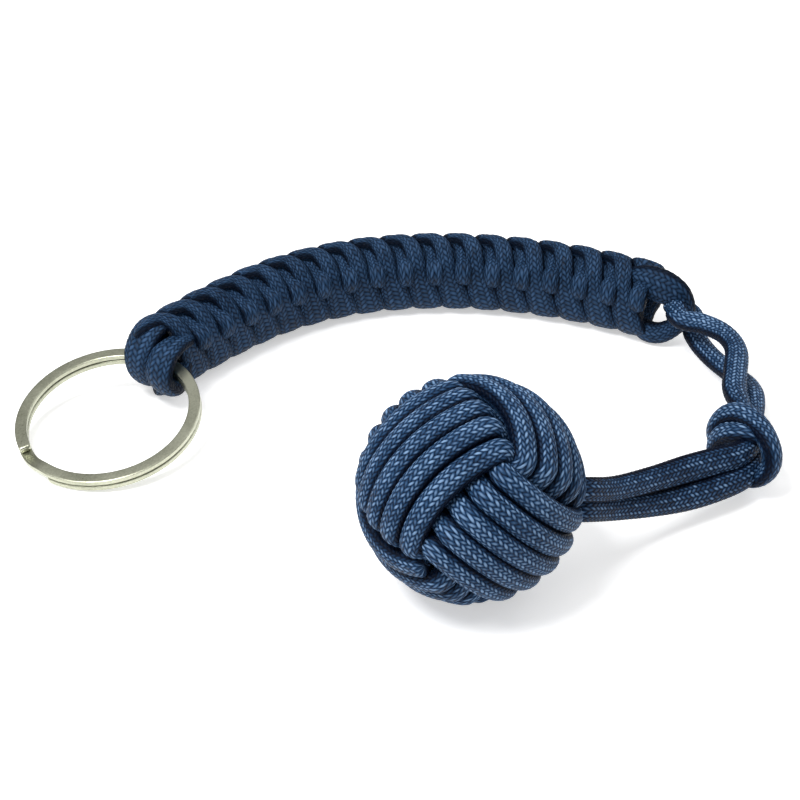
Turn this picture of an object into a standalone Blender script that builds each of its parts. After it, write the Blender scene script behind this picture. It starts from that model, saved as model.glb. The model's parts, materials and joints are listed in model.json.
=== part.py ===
"""Monkey fist key fob lying on a table.

A steel ball wrapped in a three-band monkey fist, two neck cords held by a doubled turn,
an eye loop linked through the far eye of a flat cobra-tied strap, and a split key ring
in the loop at the strap's other end. Metres, +Z up. The origin is on the table, under
the middle of the strap's flat lower edge.
"""
import math

import bmesh
import bpy
import numpy as np
from mathutils import Euler, Matrix, Vector

# General clearance between soft pieces that lie against each other
SEAT_GAP = 0.0003

# The fist: a steel ball under three bands of cord
CORE_DIAMETER = 0.0254
CORE_SEGMENTS = 28
WINDING_DIAMETER = 0.0026
WINDING_PASSES = 5
WINDING_PITCH = 0.0038
WINDING_CHORD_SAG = 0.00025
WINDING_UNDER_RADIUS = CORE_DIAMETER / 2 + SEAT_GAP + WINDING_CHORD_SAG + WINDING_DIAMETER / 2
WINDING_LAYER_RISE = 0.00345
FIST_X = 0.0146
FIST_Y = -0.0906
FIST_TILT_DEG = (-10.1, -44.4, -144.5)
FOOT_DEPTH = WINDING_DIAMETER / 10

# Where a strand dives from the outer to the inner layer, measured from the middle of its
# outer stretch, and where it steps across to the next pass, out of sight
DIVE_DEG = 48.0
DIVE_HALF_DEG = 7.0
STEP_START_DEG = 245.0
STEP_END_DEG = 295.0
OUTER_MIDPOINT_SHARE = 0.55

# The cord of the neck and the eye loop
CORD_DIAMETER = 0.0038
NECK_CLEARANCE = 0.0007
NECK_HEADING_DEG = -3.0
NECK_HEIGHTS = (0.0002, -0.0040)
NECK_STRAIGHT = 0.0022
NECK_STEP = 0.0036
EYE_STEP = 0.0023
ROUTE_FINENESS = 12
GAP_FINENESS = 5

# The doubled turn that ties the neck
TURN_DIAMETER = 0.0030
TURN_COUNT = 2
TURN_PITCH = 0.0036
TURN_HALF_WIDTH = 0.0056
TURN_HALF_HEIGHT = 0.0063
TURN_CENTRE = (0.0665, -0.0619, 0.00795)
TURN_HEADING_DEG = 66.0
TURN_START_DEG = -120.0
TURN_POINTS = 24

# The strap: stitches standing side by side round two core strands
STITCH_COUNT = 17
STITCH_PITCH = 0.00665
STITCH_GAP = 0.00075
STITCH_LENGTH = STITCH_PITCH - STITCH_GAP
STRAP_THICKNESS = 0.0097
STRAP_HEIGHT = 0.0172
STITCH_ROUNDING = 0.0021
STITCH_SHARP_DEG = 50.0
SLOT_ROUND_SHARE = 0.98
STRAND_DIAMETER = 0.0032
STRAND_HEIGHT = 0.0034
HEADING_STITCHES = (-8.4, -4.8, 0.0, 3.6, 8.1)
HEADINGS_DEG = (53.0, 43.0, 10.0, -9.5, -28.0)
SECTION_STARTS = (0, 4, 7, 10, 13)

# The far eye at the fist's end of the strap, and the loop that carries the key ring
EYE_HALF_HEIGHT = 0.0044
EYE_REACH = 0.0070
EYE_LINK_GAP = 0.0007
EYE_LINK_HEADING_DEG = -60.0
EYE_LINK_CLIMB = 0.0005
LOOP_SIDES = 8
RING_LOOP_HALF_HEIGHT = 0.0036
RING_LOOP_REACH = 0.0076
RING_LOOP_HOLE = 0.0030

# The split ring: two turns of flat wire with a crossing step
RING_DIAMETER = 0.0358
RING_WIRE_WIDTH = 0.0023
RING_WIRE_HEIGHT = 0.0011
RING_TURN_GAP = 0.0002
RING_WIRE_ROUNDING = 0.0003
RING_HEADING_DEG = 246.0
RING_STEP_HEADING_DEG = 202.0
RING_STEP_SPAN_DEG = 24.0
RING_END_GAP_DEG = 3.0
RING_POINTS_PER_TURN = 48

CORD_BLUE = (0.035, 0.062, 0.165, 1.0)
STEEL_GREY = (0.46, 0.46, 0.47, 1.0)
RING_SILVER = (0.74, 0.71, 0.63, 1.0)

MID_HEIGHT = STRAP_HEIGHT / 2
RING_RADIUS = (RING_DIAMETER - RING_WIRE_WIDTH) / 2
RING_HALF_HEIGHT = RING_WIRE_HEIGHT + RING_TURN_GAP / 2


# Scene and collections
for old in list(bpy.data.objects):
    bpy.data.objects.remove(old, do_unlink=True)

parts = bpy.data.collections.new("monkey_fist_key_fob")
cutters = bpy.data.collections.new("cutters")
bpy.context.scene.collection.children.link(parts)
bpy.context.scene.collection.children.link(cutters)
pivot_places = {}


def material(name, colour, roughness, metallic):
    """A plain Principled material of one colour."""
    made = bpy.data.materials.new(name)
    made.use_nodes = True
    shader = made.node_tree.nodes["Principled BSDF"]
    shader.inputs["Base Color"].default_value = colour
    shader.inputs["Roughness"].default_value = roughness
    shader.inputs["Metallic"].default_value = metallic
    made.diffuse_color = colour
    return made


def cord_material(name):
    return material(name, CORD_BLUE, 0.75, 0.0)


def pivot(name, place, parent=None):
    """An empty on a joint's axis, which carries the pieces that move about it."""
    empty = bpy.data.objects.new(name, None)
    empty.empty_display_size = 0.005
    parts.objects.link(empty)
    pivot_places[empty] = Vector(place)
    carry(empty, place, parent)
    return empty


def carry(piece, place, parent):
    """Put a piece at a world place under the pivot that carries it."""
    piece.location = Vector(place)
    if parent is not None:
        piece.parent = parent
        piece.matrix_parent_inverse = Matrix.Translation(-pivot_places[parent])


def add_mesh(name, mesh, place, parent, look, collection=parts):
    piece = bpy.data.objects.new(name, mesh)
    collection.objects.link(piece)
    carry(piece, place, parent)
    if look is not None:
        mesh.materials.clear()
        mesh.materials.append(look)
    return piece


def tube(name, points, diameter, parent, look, resolution=2):
    """A cord: a poly spline with a round bevel and filled ends, kept as a curve."""
    place = pivot_places[parent] if parent else Vector(points[0])
    curve = bpy.data.curves.new(name, "CURVE")
    curve.dimensions = "3D"
    curve.bevel_depth = diameter / 2
    curve.bevel_resolution = resolution
    curve.use_fill_caps = True
    spline = curve.splines.new("POLY")
    spline.points.add(len(points) - 1)
    for target, point in zip(spline.points, points):
        target.co = (*(Vector(point) - place), 1.0)
    curve.materials.append(look)
    piece = bpy.data.objects.new(name, curve)
    parts.objects.link(piece)
    carry(piece, place, parent)
    return piece


def curve_to_mesh(piece):
    """Replace a curve piece by its mesh, with the loose end caps welded on."""
    bpy.context.view_layer.update()
    evaluated = piece.evaluated_get(bpy.context.evaluated_depsgraph_get())
    mesh = bpy.data.meshes.new_from_object(evaluated)
    shape = bmesh.new()
    shape.from_mesh(mesh)
    bmesh.ops.remove_doubles(shape, verts=shape.verts, dist=0.000001)
    bmesh.ops.recalc_face_normals(shape, faces=shape.faces)
    shape.to_mesh(mesh)
    shape.free()
    name = piece.name
    look = piece.data.materials[0]
    place = piece.matrix_world.copy()
    bpy.data.objects.remove(piece, do_unlink=True)
    solid = add_mesh(name, mesh, (0, 0, 0), None, look)
    solid.matrix_world = place
    return solid


def smooth_route(points, step):
    """Even points along a smooth curve through the route's own points."""
    route = [Vector(point) for point in points]
    route = [2 * route[0] - route[1]] + route + [2 * route[-1] - route[-2]]
    fine = []
    for a, b, c, d in zip(route, route[1:], route[2:], route[3:]):
        for k in range(ROUTE_FINENESS):
            t = k / ROUTE_FINENESS
            fine.append(0.5 * (2 * b + (c - a) * t + (2 * a - 5 * b + 4 * c - d) * t ** 2
                               + (3 * b - a - 3 * c + d) * t ** 3))
    fine.append(route[-2])
    lengths = [0.0]
    for a, b in zip(fine, fine[1:]):
        lengths.append(lengths[-1] + (b - a).length)
    count = max(2, round(lengths[-1] / step))
    places = np.linspace(0.0, lengths[-1], count + 1)
    axes = [np.interp(places, lengths, [point[i] for point in fine]) for i in range(3)]
    return [Vector(point) for point in zip(*axes)]


def flat_direction(heading_deg):
    heading = math.radians(heading_deg)
    return Vector((math.cos(heading), math.sin(heading), 0.0))


def least_self_gap(points, diameter, skip_length):
    """Least distance between a tube's surface and itself, away from its own next turns."""
    samples = []
    travelled = []
    length = 0.0
    for a, b in zip(points, points[1:]):
        run = (b - a).length
        for k in range(GAP_FINENESS):
            samples.append(a.lerp(b, k / GAP_FINENESS))
            travelled.append(length + run * k / GAP_FINENESS)
        length += run
    samples = np.array(samples)
    travelled = np.array(travelled)
    least = math.inf
    for point, along in zip(samples, travelled):
        apart = np.linalg.norm(samples - point, axis=1)
        apart[np.abs(travelled - along) < skip_length] = math.inf
        least = min(least, apart.min())
    return least - diameter


# The fist
def winding_points():
    """The cord of the fist, in the ball's own axes, about the ball's centre.

    Each band goes round its own axis. Its strands lie in the outer layer at two opposite
    faces and dive under the crossing band at the next two, a step of 90 degrees on.
    """
    axis_1, axis_2, axis_3 = Vector((1, 0, 0)), Vector((0, 1, 0)), Vector((0, 0, 1))
    bands = ((-axis_3, axis_2, axis_1), (axis_2, -axis_1, axis_3), (-axis_1, -axis_3, -axis_2))
    dive_start = DIVE_DEG - DIVE_HALF_DEG
    dive_end = DIVE_DEG + DIVE_HALF_DEG
    quarter = [(0.0, 0.0), (OUTER_MIDPOINT_SHARE * dive_start, 0.0), (dive_start, 0.0),
               (DIVE_DEG, 0.5), (dive_end, 1.0), ((dive_end + 90.0) / 2, 1.0)]
    half = quarter + [(90.0, 1.0)] + [(180.0 - angle, depth) for angle, depth in quarter[:0:-1]]
    turn = half + [(angle + 180.0, depth) for angle, depth in half]
    widest = WINDING_PITCH * (WINDING_PASSES - 1) / 2
    points = []
    for number, (across, outer, inner) in enumerate(bands):
        first = STEP_END_DEG - 360.0 if number == 0 else -dive_start
        last = STEP_START_DEG if number == 2 else 180.0 + DIVE_DEG + 2 * DIVE_HALF_DEG
        last += 360.0 * (WINDING_PASSES - 1)
        for passing in range(-1, WINDING_PASSES):
            for angle, depth in turn:
                total = angle + 360.0 * passing
                if total < first or total > last:
                    continue
                stepped = (angle - STEP_START_DEG) / (STEP_END_DEG - STEP_START_DEG)
                offset = WINDING_PITCH * (passing + min(max(stepped, 0.0), 1.0)) - widest
                offset = min(max(offset, -widest), widest)
                radius = WINDING_UNDER_RADIUS + WINDING_LAYER_RISE * (1.0 - depth)
                reach = math.sqrt(radius ** 2 - offset ** 2)
                around = math.radians(angle)
                points.append(across * offset + outer * reach * math.cos(around)
                              + inner * reach * math.sin(around))
    return points


fist_turn = Euler([math.radians(angle) for angle in FIST_TILT_DEG]).to_matrix()
fist_points = [fist_turn @ point for point in winding_points()]
fist_lowest = min(point.z for point in fist_points) - WINDING_DIAMETER / 2
fist_centre = Vector((FIST_X, FIST_Y, -fist_lowest - FOOT_DEPTH))
fist_radius = WINDING_UNDER_RADIUS + WINDING_LAYER_RISE + WINDING_DIAMETER / 2
winding_gap = least_self_gap(fist_points, WINDING_DIAMETER, 3 * WINDING_DIAMETER)
print("winding: least gap to itself %.2f mm, %d points" % (1000 * winding_gap, len(fist_points)))

bpy.ops.mesh.primitive_uv_sphere_add(segments=CORE_SEGMENTS, ring_count=CORE_SEGMENTS // 2,
                                     radius=CORE_DIAMETER / 2, location=fist_centre)
steel_core = bpy.context.object
steel_core.name = "steel_core"
steel_core.data.materials.append(material("steel_core", STEEL_GREY, 0.3, 1.0))
steel_core.data.shade_smooth()
for holder in list(steel_core.users_collection):
    holder.objects.unlink(steel_core)
parts.objects.link(steel_core)

fist_winding = tube("fist_winding", [fist_centre + point for point in fist_points],
                    WINDING_DIAMETER, None, cord_material("fist_winding"), resolution=1)
fist_winding = curve_to_mesh(fist_winding)
fist_winding.data.shade_smooth()

bpy.ops.mesh.primitive_cube_add(size=1.0, location=(FIST_X, FIST_Y, -CORE_DIAMETER / 4),
                                scale=(CORE_DIAMETER, CORE_DIAMETER, CORE_DIAMETER / 2))
foot_cutter = bpy.context.object
foot_cutter.name = "foot_cutter"
foot_cutter.hide_render = True
foot_cutter.display_type = "WIRE"
for holder in list(foot_cutter.users_collection):
    holder.objects.unlink(foot_cutter)
cutters.objects.link(foot_cutter)
foot_cut = fist_winding.modifiers.new("flat_foot", "BOOLEAN")
foot_cut.operation = "DIFFERENCE"
foot_cut.object = foot_cutter


# The strap's line on the table, counted from its middle stitch
def stitch_places():
    """Each stitch's place on the table and its heading in degrees."""
    middle = (STITCH_COUNT - 1) / 2
    headings = [float(np.interp(number - middle, HEADING_STITCHES, HEADINGS_DEG))
                for number in range(STITCH_COUNT)]
    places = [Vector((0.0, 0.0, 0.0))]
    for before, after in zip(headings, headings[1:]):
        places.append(places[-1] + STITCH_PITCH * flat_direction((before + after) / 2))
    centre = places[int(middle)]
    return [place - centre for place in places], headings


stitch_spots, stitch_headings = stitch_places()
sections = [range(first, last) for first, last in
            zip(SECTION_STARTS, SECTION_STARTS[1:] + (STITCH_COUNT,))]
ring_end = stitch_spots[0] - STITCH_LENGTH / 2 * flat_direction(stitch_headings[0])
fist_end = stitch_spots[-1] + STITCH_LENGTH / 2 * flat_direction(stitch_headings[-1])
eye_tip = fist_end + EYE_REACH * flat_direction(stitch_headings[-1])
ring_hold = ring_end - RING_LOOP_HOLE * flat_direction(stitch_headings[0])

neck_start = fist_centre + (fist_radius + NECK_CLEARANCE) * flat_direction(NECK_HEADING_DEG)
neck_pivot = pivot("neck_bend_axis", neck_start)
eye_pivot = pivot("eye_swing_axis", eye_tip + Vector((0, 0, MID_HEIGHT)), neck_pivot)
strap_pivots = {len(sections) - 1: eye_pivot}
for number in reversed(range(len(sections) - 1)):
    last = sections[number][-1]
    bend = (stitch_spots[last] + stitch_spots[last + 1]) / 2
    strap_pivots[number] = pivot("strap_curl_%d_axis" % (number + 1),
                                 bend + Vector((0, 0, MID_HEIGHT)), strap_pivots[number + 1])
ring_pivot = pivot("ring_flap_axis", ring_hold + Vector((0, 0, MID_HEIGHT)), strap_pivots[0])


# The stitches: rounded blocks with an upright slot for the core strands
def stitch_mesh():
    """One stitch about the strap's middle height, open along its own X."""
    shape = bmesh.new()
    bmesh.ops.create_cube(shape, size=1.0)
    bmesh.ops.scale(shape, vec=(STITCH_LENGTH, STRAP_THICKNESS, STRAP_HEIGHT), verts=shape.verts)
    bmesh.ops.bevel(shape, geom=shape.edges[:], offset=STITCH_ROUNDING, segments=3, profile=0.5,
                    affect="EDGES")
    mesh = bpy.data.meshes.new("stitch")
    shape.to_mesh(mesh)
    shape.free()
    mesh.shade_smooth()
    mesh.set_sharp_from_angle(angle=math.radians(STITCH_SHARP_DEG))
    return mesh


def slot_cutter():
    """An upright slot with round ends, longer than a stitch, for both core strands."""
    radius = STRAND_DIAMETER / 2 + SEAT_GAP
    shape = bmesh.new()
    bmesh.ops.create_cube(shape, size=1.0)
    bmesh.ops.scale(shape, vec=(2 * STITCH_LENGTH, 2 * radius, 2 * (STRAND_HEIGHT + radius)),
                    verts=shape.verts)
    long_edges = [edge for edge in shape.edges
                  if abs(edge.verts[0].co.x - edge.verts[1].co.x) > STITCH_LENGTH]
    bmesh.ops.bevel(shape, geom=long_edges, offset=SLOT_ROUND_SHARE * radius, segments=4,
                    profile=0.5, affect="EDGES")
    mesh = bpy.data.meshes.new("strand_slot")
    shape.to_mesh(mesh)
    shape.free()
    return mesh


block_mesh = stitch_mesh()
slot_mesh = slot_cutter()
for number, (spot, heading) in enumerate(zip(stitch_spots, stitch_headings)):
    section = max(k for k, first in enumerate(SECTION_STARTS) if number >= first)
    name = "stitch_%02d" % (number + 1)
    place = spot + Vector((0, 0, MID_HEIGHT))
    stitch = add_mesh(name, block_mesh.copy(), place, strap_pivots[section], cord_material(name))
    stitch.rotation_euler.z = math.radians(heading)
    cutter = add_mesh(name + "_slot", slot_mesh, place, None, None, cutters)
    cutter.rotation_euler.z = math.radians(heading)
    cutter.hide_render = True
    cutter.display_type = "WIRE"
    cut = stitch.modifiers.new("strand_slot", "BOOLEAN")
    cut.operation = "DIFFERENCE"
    cut.object = cutter


# The core strands, the far eye and the ring's loop
def strand_line(section, height):
    """A strand's points through the stitches of one section, from face to face."""
    half = STITCH_LENGTH / 2
    line = [stitch_spots[section[0]] - half * flat_direction(stitch_headings[section[0]])]
    for number in section:
        line.append(stitch_spots[number])
        if number != section[-1]:
            line.append((stitch_spots[number] + stitch_spots[number + 1]) / 2)
    line.append(stitch_spots[section[-1]] + half * flat_direction(stitch_headings[section[-1]]))
    return [point + Vector((0, 0, MID_HEIGHT + height)) for point in line]


def end_loop(end, outward, reach, half_height):
    """A loop in the strap's upright plane, from the upper strand out and back to the lower."""
    straight = reach - half_height
    shape = [(0.5 * straight, (STRAND_HEIGHT + half_height) / 2)]
    for k in range(LOOP_SIDES + 1):
        angle = math.pi * (0.5 - k / LOOP_SIDES)
        shape.append((straight + half_height * math.cos(angle), half_height * math.sin(angle)))
    shape.append((0.5 * straight, -(STRAND_HEIGHT + half_height) / 2))
    return [end + outward * out + Vector((0, 0, MID_HEIGHT + up)) for out, up in shape]


for number in range(1, len(sections) - 1):
    for side, height in (("upper", STRAND_HEIGHT), ("lower", -STRAND_HEIGHT)):
        name = "core_strand_%s_%d" % (side, number + 1)
        tube(name, strand_line(sections[number], height), STRAND_DIAMETER, strap_pivots[number],
             cord_material(name))

fist_outward = flat_direction(stitch_headings[-1])
far_eye_points = (strand_line(sections[-1], STRAND_HEIGHT)
                  + end_loop(fist_end, fist_outward, EYE_REACH, EYE_HALF_HEIGHT)
                  + strand_line(sections[-1], -STRAND_HEIGHT)[::-1])
tube("far_eye", far_eye_points, STRAND_DIAMETER, eye_pivot, cord_material("far_eye"))

ring_outward = -flat_direction(stitch_headings[0])
ring_loop_points = (strand_line(sections[0], STRAND_HEIGHT)[::-1]
                    + end_loop(ring_end, ring_outward, RING_LOOP_REACH, RING_LOOP_HALF_HEIGHT)
                    + strand_line(sections[0], -STRAND_HEIGHT))
tube("ring_loop", ring_loop_points, STRAND_DIAMETER, strap_pivots[0], cord_material("ring_loop"))


# The neck: two cords from the fist through the doubled turn, on routes chosen by hand
UPPER_NECK_ROUTE = ((0.0406, -0.0845, 0.0151), (0.0470, -0.0788, 0.0121),
                    (0.0534, -0.0736, 0.0110), (0.0591, -0.0696, 0.0104),
                    (0.0636, -0.0658, 0.0101), (0.0663, -0.0610, 0.0100),
                    (0.0676, -0.0560, 0.0099))
LOWER_NECK_ROUTE = ((0.0408, -0.0846, 0.0103), (0.0473, -0.0796, 0.0076),
                    (0.0536, -0.0756, 0.0060), (0.0592, -0.0720, 0.0056),
                    (0.0643, -0.0674, 0.0055), (0.0672, -0.0620, 0.0055),
                    (0.0688, -0.0560, 0.0055))
UPPER_EYE_ROUTE = ((0.0673, -0.0485, 0.0097), (0.0685, -0.0423, 0.0100), (0.0702, -0.0340, 0.0103),
                   (0.0685, -0.0282, 0.0105), (0.0640, -0.0240, 0.0106), (0.0588, -0.0204, 0.0099))
LOWER_EYE_ROUTE = ((0.0648, -0.0178, 0.0062), (0.0658, -0.0225, 0.0036), (0.0668, -0.0280, 0.0029),
                   (0.0695, -0.0325, 0.0032), (0.0722, -0.0380, 0.0042), (0.0720, -0.0445, 0.0052))


def neck_route(height, route):
    """From the fist's surface straight out, then along the hand-chosen route."""
    heading = flat_direction(NECK_HEADING_DEG)
    lift = height / fist_radius
    out = (heading + Vector((0, 0, lift))).normalized()
    start = fist_centre + out * (fist_radius + NECK_CLEARANCE)
    return smooth_route((start, start + NECK_STRAIGHT * out) + tuple(route), NECK_STEP)


upper_neck = neck_route(NECK_HEIGHTS[0], UPPER_NECK_ROUTE)
lower_neck = neck_route(NECK_HEIGHTS[1], LOWER_NECK_ROUTE)
tube("neck_cord_upper", upper_neck, CORD_DIAMETER, neck_pivot, cord_material("neck_cord_upper"))
tube("neck_cord_lower", lower_neck, CORD_DIAMETER, neck_pivot, cord_material("neck_cord_lower"))

link_radius = STRAND_DIAMETER / 2 + EYE_LINK_GAP + CORD_DIAMETER / 2
link_points = []
for turn_deg in (-90.0, -130.0, -180.0, -230.0, -270.0):
    climb = EYE_LINK_CLIMB * (turn_deg + 180.0) / 90.0
    link_points.append(eye_tip + link_radius * flat_direction(EYE_LINK_HEADING_DEG + turn_deg)
                       + Vector((0, 0, MID_HEIGHT + climb)))
upper_out = (upper_neck[-1] - upper_neck[-2]).normalized()
lower_out = (lower_neck[-1] - lower_neck[-2]).normalized()
eye_route = ((upper_neck[-1] + SEAT_GAP * upper_out, upper_neck[-1] + EYE_STEP * upper_out)
             + UPPER_EYE_ROUTE + tuple(link_points) + LOWER_EYE_ROUTE
             + (lower_neck[-1] + EYE_STEP * lower_out, lower_neck[-1] + SEAT_GAP * lower_out))
eye_points = smooth_route(eye_route, EYE_STEP)
tube("eye_loop", eye_points, CORD_DIAMETER, neck_pivot, cord_material("eye_loop"))

turn_along = flat_direction(TURN_HEADING_DEG)
turn_across = flat_direction(TURN_HEADING_DEG + 90.0)
turn_points = []
for k in range(TURN_COUNT * TURN_POINTS + 1):
    part_turn = k / TURN_POINTS
    angle = math.radians(360.0 * part_turn + TURN_START_DEG)
    turn_points.append(Vector(TURN_CENTRE)
                       + turn_along * TURN_PITCH * (part_turn - TURN_COUNT / 2)
                       + turn_across * TURN_HALF_WIDTH * math.cos(angle)
                       + Vector((0, 0, TURN_HALF_HEIGHT * math.sin(angle))))
print("neck knot: least gap to itself %.2f mm"
      % (1000 * least_self_gap(turn_points, TURN_DIAMETER, 5 * TURN_DIAMETER)))
tube("overhand_knot", turn_points, TURN_DIAMETER, neck_pivot, cord_material("overhand_knot"),
     resolution=1)


# The key ring
def wire_section():
    """The wire's cross-section: a rectangle with rounded corners, as a closed curve."""
    curve = bpy.data.curves.new("ring_wire_section", "CURVE")
    curve.dimensions = "2D"
    corners = []
    for quarter in range(4):
        side_x = 1 if quarter in (0, 3) else -1
        side_y = 1 if quarter in (0, 1) else -1
        for k in range(2):
            angle = math.radians(90.0 * quarter + 45.0 * (k + 0.5))
            x = side_x * (RING_WIRE_WIDTH / 2 - RING_WIRE_ROUNDING)
            y = side_y * (RING_WIRE_HEIGHT / 2 - RING_WIRE_ROUNDING)
            corners.insert(0, (x + RING_WIRE_ROUNDING * math.cos(angle),
                               y + RING_WIRE_ROUNDING * math.sin(angle)))
    spline = curve.splines.new("POLY")
    spline.points.add(len(corners) - 1)
    for target, (x, y) in zip(spline.points, corners):
        target.co = (x, y, 0.0, 1.0)
    spline.use_cyclic_u = True
    section = bpy.data.objects.new("ring_wire_section", curve)
    section.hide_render = True
    section.display_type = "WIRE"
    cutters.objects.link(section)
    return section


def ring_points():
    """Two flat turns, joined by a short climb where the wire crosses over itself."""
    start = (RING_STEP_HEADING_DEG - RING_HEADING_DEG + RING_STEP_SPAN_DEG / 2
             + RING_END_GAP_DEG)
    sweep = 720.0 - RING_STEP_SPAN_DEG - 2 * RING_END_GAP_DEG
    level = (RING_WIRE_HEIGHT + RING_TURN_GAP) / 2
    count = round(sweep / 360.0 * RING_POINTS_PER_TURN)
    points = []
    for k in range(count + 1):
        swept = sweep * k / count
        climb = (swept - sweep / 2) / RING_STEP_SPAN_DEG + 0.5
        climb = min(max(climb, 0.0), 1.0)
        angle = math.radians(start + swept)
        points.append(Vector((RING_RADIUS * math.cos(angle), RING_RADIUS * math.sin(angle),
                              level * (2.0 * climb - 1.0))))
    return points


ring_reach = 2 * RING_RADIUS + RING_WIRE_WIDTH / 2
ring_tilt = (math.asin(MID_HEIGHT / math.hypot(ring_reach, RING_HALF_HEIGHT))
             - math.atan2(RING_HALF_HEIGHT, ring_reach))
ring_away = flat_direction(RING_HEADING_DEG)
ring_centre = (ring_hold + RING_RADIUS * math.cos(ring_tilt) * ring_away
               + Vector((0, 0, MID_HEIGHT - RING_RADIUS * math.sin(ring_tilt))))
ring_look = material("key_ring", RING_SILVER, 0.28, 1.0)
ring_curve = bpy.data.curves.new("key_ring", "CURVE")
ring_curve.dimensions = "3D"
ring_curve.twist_mode = "Z_UP"
ring_curve.bevel_mode = "OBJECT"
ring_curve.bevel_object = wire_section()
ring_curve.use_fill_caps = True
ring_curve.materials.append(ring_look)
ring_turn = (Matrix.Rotation(math.radians(RING_HEADING_DEG), 3, "Z")
             @ Matrix.Rotation(ring_tilt, 3, "Y"))
ring_spline = ring_curve.splines.new("POLY")
ring_line = ring_points()
ring_spline.points.add(len(ring_line) - 1)
for target, point in zip(ring_spline.points, ring_line):
    target.co = (*point, 1.0)
key_ring = bpy.data.objects.new("key_ring", ring_curve)
parts.objects.link(key_ring)
carry(key_ring, ring_centre, ring_pivot)
key_ring.rotation_euler = ring_turn.to_euler()

for label, place in (("fist centre", fist_centre), ("neck bend", pivot_places[neck_pivot]),
                     ("eye swing", pivot_places[eye_pivot]),
                     ("ring flap", pivot_places[ring_pivot]), ("ring centre", ring_centre)):
    print("%s: %.2f %.2f %.2f mm" % (label, *(1000 * place)))
print("ring tilt: %.2f degrees" % math.degrees(ring_tilt))
for number in range(len(sections) - 1):
    print("strap curl %d: %.2f %.2f %.2f mm"
          % (number + 1, *(1000 * pivot_places[strap_pivots[number]])))
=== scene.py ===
"""Monkey fist key fob in navy nylon cord, lying on a pale table."""
import json
import math

import bmesh
import bpy
import numpy as np
from mathutils import Euler, Matrix, Vector


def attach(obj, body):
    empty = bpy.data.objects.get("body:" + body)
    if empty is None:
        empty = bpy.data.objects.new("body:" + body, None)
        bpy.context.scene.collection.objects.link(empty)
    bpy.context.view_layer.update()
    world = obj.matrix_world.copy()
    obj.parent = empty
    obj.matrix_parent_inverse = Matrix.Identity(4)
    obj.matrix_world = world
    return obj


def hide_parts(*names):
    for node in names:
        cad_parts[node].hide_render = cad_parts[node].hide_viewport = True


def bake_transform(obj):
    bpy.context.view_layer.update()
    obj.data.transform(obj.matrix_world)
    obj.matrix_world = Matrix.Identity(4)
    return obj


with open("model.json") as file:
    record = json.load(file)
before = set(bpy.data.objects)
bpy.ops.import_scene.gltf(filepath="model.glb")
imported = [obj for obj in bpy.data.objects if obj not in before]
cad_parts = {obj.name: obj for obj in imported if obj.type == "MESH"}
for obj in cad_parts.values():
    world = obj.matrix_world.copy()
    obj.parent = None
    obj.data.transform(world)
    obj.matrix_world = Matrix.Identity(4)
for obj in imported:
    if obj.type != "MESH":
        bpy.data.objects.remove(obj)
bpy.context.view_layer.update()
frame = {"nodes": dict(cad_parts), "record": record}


# The steel ball.
# A plain one-inch bearing ball, which gives the fist its weight. It is ground
# steel, wrapped out of sight and held by the winding alone.
BALL_WORN = (0.06, 0.06, 0.065)
BALL_BRIGHT = (0.12, 0.12, 0.13)
BALL_ROUGHNESS = 0.45
BALL_PIT_SCALE = 900.0
SMEAR_SCALE = 90.0
SMEAR_DETAIL = 4.0
PIT_SHARE = 0.35
PIT_STRENGTH = 0.2
PIT_DEPTH = 0.00001
WORN_AT = 0.36
BRIGHT_AT = 0.58
METAL_ROUGHNESS_SPREAD = 0.3


class Wiring:
    """A node tree, with short ways to make and join its nodes."""

    def __init__(self, tree):
        self.tree = tree

    def node(self, kind, **settings):
        made = self.tree.nodes.new(kind)
        for key, value in settings.items():
            setattr(made, key, value)
        return made

    def feed(self, source, target):
        if isinstance(source, (int, float)):
            target.default_value = source
        else:
            self.tree.links.new(source, target)

    def calc(self, operation, *values):
        made = self.node("ShaderNodeMath", operation=operation)
        for value, socket in zip(values, made.inputs):
            self.feed(value, socket)
        return made.outputs[0]

    def between(self, share, first, second):
        """The first value where the share is 0 and the second where it is 1."""
        made = self.node("ShaderNodeMix", data_type="FLOAT")
        for name, value in (("Factor", share), ("A", first), ("B", second)):
            self.feed(value, made.inputs[name])
        return made.outputs["Result"]

    def stretch(self, value, *ends):
        """A value carried over from one range to another, given as their four ends."""
        made = self.node("ShaderNodeMapRange")
        self.feed(value, made.inputs["Value"])
        for name, end in zip(("From Min", "From Max", "To Min", "To Max"), ends):
            made.inputs[name].default_value = end
        return made.outputs["Result"]


class Finish(Wiring):
    """A material, with the ways in which its colour and grain are made."""

    def __init__(self, name):
        self.material = bpy.data.materials.new(name)
        self.material.use_nodes = True
        super().__init__(self.material.node_tree)
        self.shader = self.tree.nodes["Principled BSDF"]

    def cloud(self, scale, detail=3.0):
        """Soft noise on the object's own coordinates, in features of 1 / scale metres."""
        place = self.node("ShaderNodeTexCoord")
        made = self.node("ShaderNodeTexNoise")
        self.feed(place.outputs["Object"], made.inputs["Vector"])
        made.inputs["Scale"].default_value = scale
        made.inputs["Detail"].default_value = detail
        return made.outputs[0]

    def ramp(self, value, stops):
        made = self.node("ShaderNodeValToRGB")
        points = made.color_ramp.elements
        while len(points) < len(stops):
            points.new(0.5)
        for point, (place, colour) in zip(points, stops):
            point.position = place
            point.color = (*colour, 1.0)
        self.feed(value, made.inputs[0])
        return made.outputs[0]

    def colour(self, source):
        self.feed(source, self.shader.inputs["Base Color"])

    def bump(self, height, strength, distance):
        made = self.node("ShaderNodeBump")
        made.inputs["Strength"].default_value = strength
        made.inputs["Distance"].default_value = distance
        self.feed(height, made.inputs["Height"])
        self.feed(made.outputs[0], self.shader.inputs["Normal"])


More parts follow.
